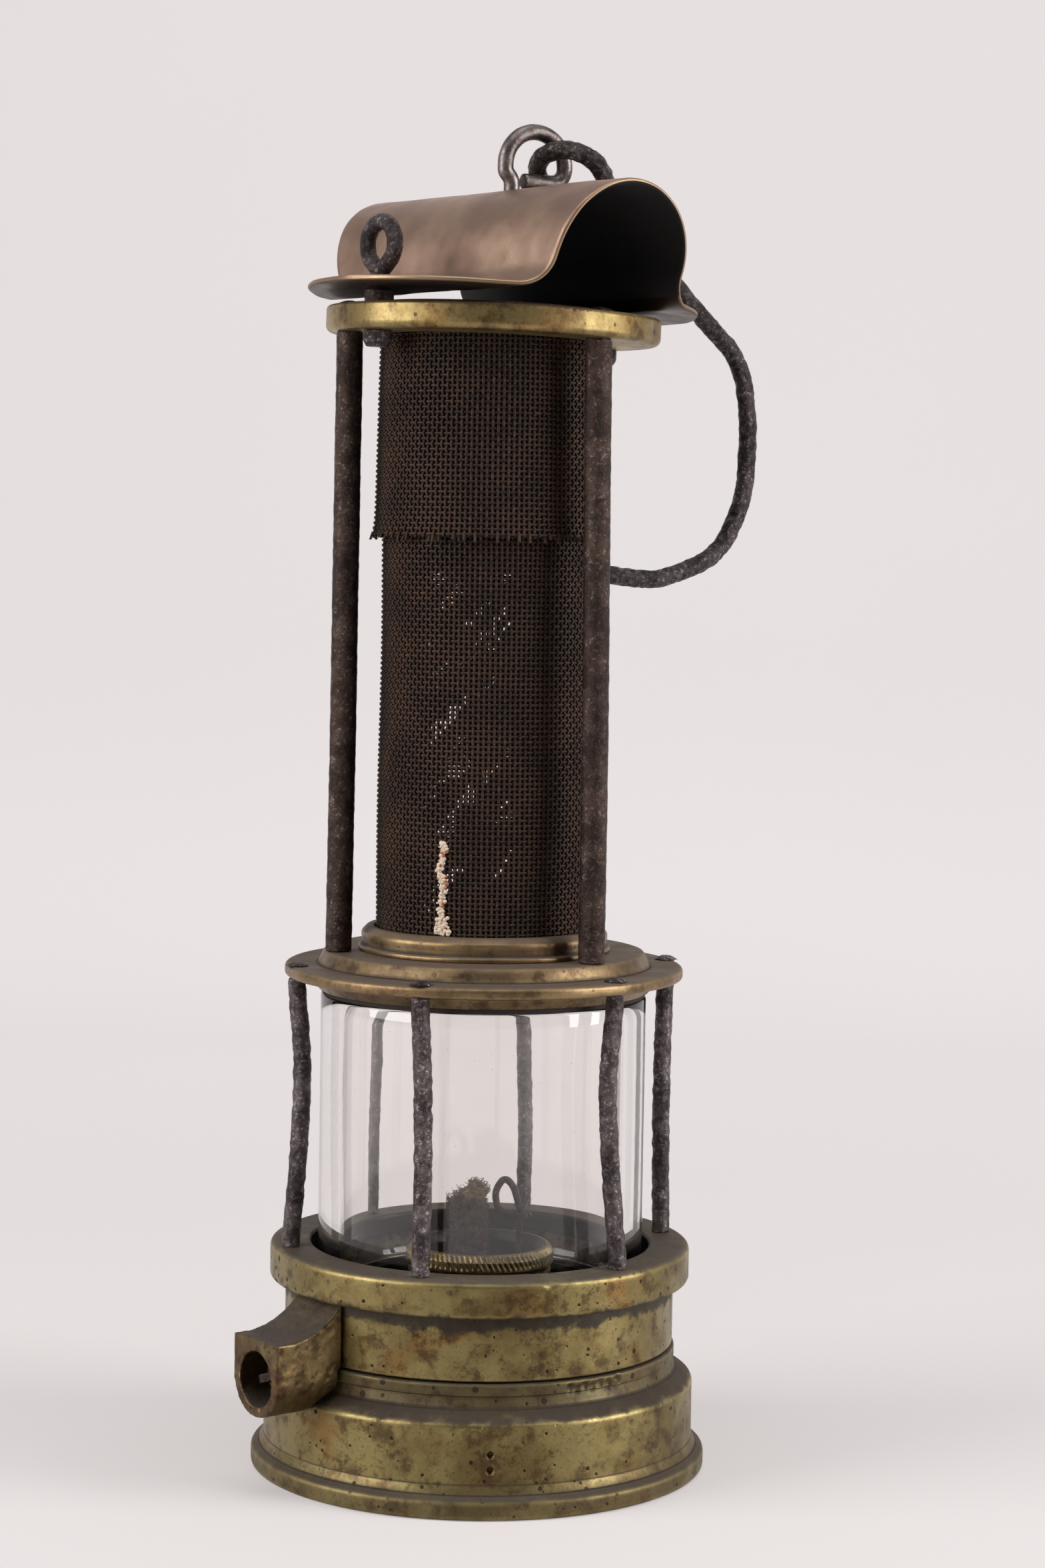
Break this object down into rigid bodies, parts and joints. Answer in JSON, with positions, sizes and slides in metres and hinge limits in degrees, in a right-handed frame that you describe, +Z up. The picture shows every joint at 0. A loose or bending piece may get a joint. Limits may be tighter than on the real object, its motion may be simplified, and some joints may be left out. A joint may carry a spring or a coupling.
{
  "type": "carbide lamp",
  "caption": "Portable mining lamp with an oil vessel and wick under a glass cylinder, a tall gauze chimney, a bonnet hood and a hanging hook.",
  "frame": {"origin": "centre of the foot, in the plane of the table", "axes": "+Z up along the lamp's axis, -Y towards the front, +X to the right"},
  "size_m": [0.0984, 0.088, 0.2576],
  "materials": {
    "base_brass": "worn, with round tarnish spots",
    "brass": "dull aged brass",
    "hood_brass": "satin, browned, sooty inside",
    "iron": "pitted wrought iron",
    "gauze": "woven iron wire",
    "glass": "clear, dusty",
    "leather": "dark",
    "cotton": "frayed brown cotton"
  },
  "bodies": {
    "vessel": {"oil_vessel": "base_brass", "vessel_bottom": "brass", "burner_socket": "brass", "burner_plate": "brass", "wick_tube": "brass", "wick": "cotton", "pricker_tube": "brass"},
    "burner_ring": {"burner_ring": "brass"},
    "pricker": {"pricker": "iron"},
    "washer": {"vessel_washer": "leather"},
    "cage": {"lower_ring": "base_brass", "lock_barrel": "brass", "glass_ring": "brass", "lower_gasket": "leather", "glass_cylinder": "glass", "upper_gasket": "leather", "glass_seat": "brass", "middle_plate": "brass", "gauze_collar": "brass", "main_gauze": "gauze", "outer_gauze": "gauze", "gauze_crown": "gauze", "top_plate": "brass", "hood": "hood_brass", "near_spacer": "iron", "far_spacer": "iron", "near_eyebolt": "iron", "far_eyebolt": "iron", "eye_washer": "iron", "guard_pillar_1": "iron", "guard_pillar_2": "iron", "guard_pillar_3": "iron", "guard_pillar_4": "iron", "guard_pillar_5": "iron", "guard_pillar_6": "iron", "upper_post_1": "iron", "upper_post_2": "iron", "upper_post_3": "iron"},
    "lock_bolt": {"lock_bolt": "iron"},
    "hanging_eye": {"hanging_eye": "iron"},
    "hook": {"hook": "iron"}
  },
  "joints": [
    {"name": "burner_ring_turn", "type": "hinge", "parent": "vessel", "child": "burner_ring", "pos_m": [0, 0, 0.0355], "axis": [0, 0, 1], "range_deg": [0, 720]},
    {"name": "pricker_push", "type": "slide", "parent": "vessel", "child": "pricker", "axis": [0, 0, 1], "range_m": [0, 0.005]},
    {"name": "cage_lift", "type": "slide", "parent": "vessel", "child": "washer", "axis": [0, 0, 1], "range_m": [0, 0.0068]},
    {"name": "cage_turn", "type": "hinge", "parent": "washer", "child": "cage", "pos_m": [0, 0, 0.0275], "axis": [0, 0, 1], "range_deg": [0, 1620]},
    {"name": "lock_bolt_turn", "type": "hinge", "parent": "cage", "child": "lock_bolt", "pos_m": [-0.03467, -0.02709, 0.0228], "axis": [-0.788, -0.6157, 0], "range_deg": [0, 720]},
    {"name": "eye_swivel", "type": "hinge", "parent": "cage", "child": "hanging_eye", "pos_m": [0.0031, -0.0014, 0.244], "axis": [0, 0, 1], "range_deg": [-30, 10]},
    {"name": "hook_swing", "type": "hinge", "parent": "hanging_eye", "child": "hook", "pos_m": [0.00879, 0.00189, 0.25125], "axis": [0.6157, -0.788, 0], "range_deg": [0, 150]}
  ],
  "couplings": [
    {"joint": "cage_lift", "follows": "cage_turn", "m_per_rad": 0.00023873}
  ]
}
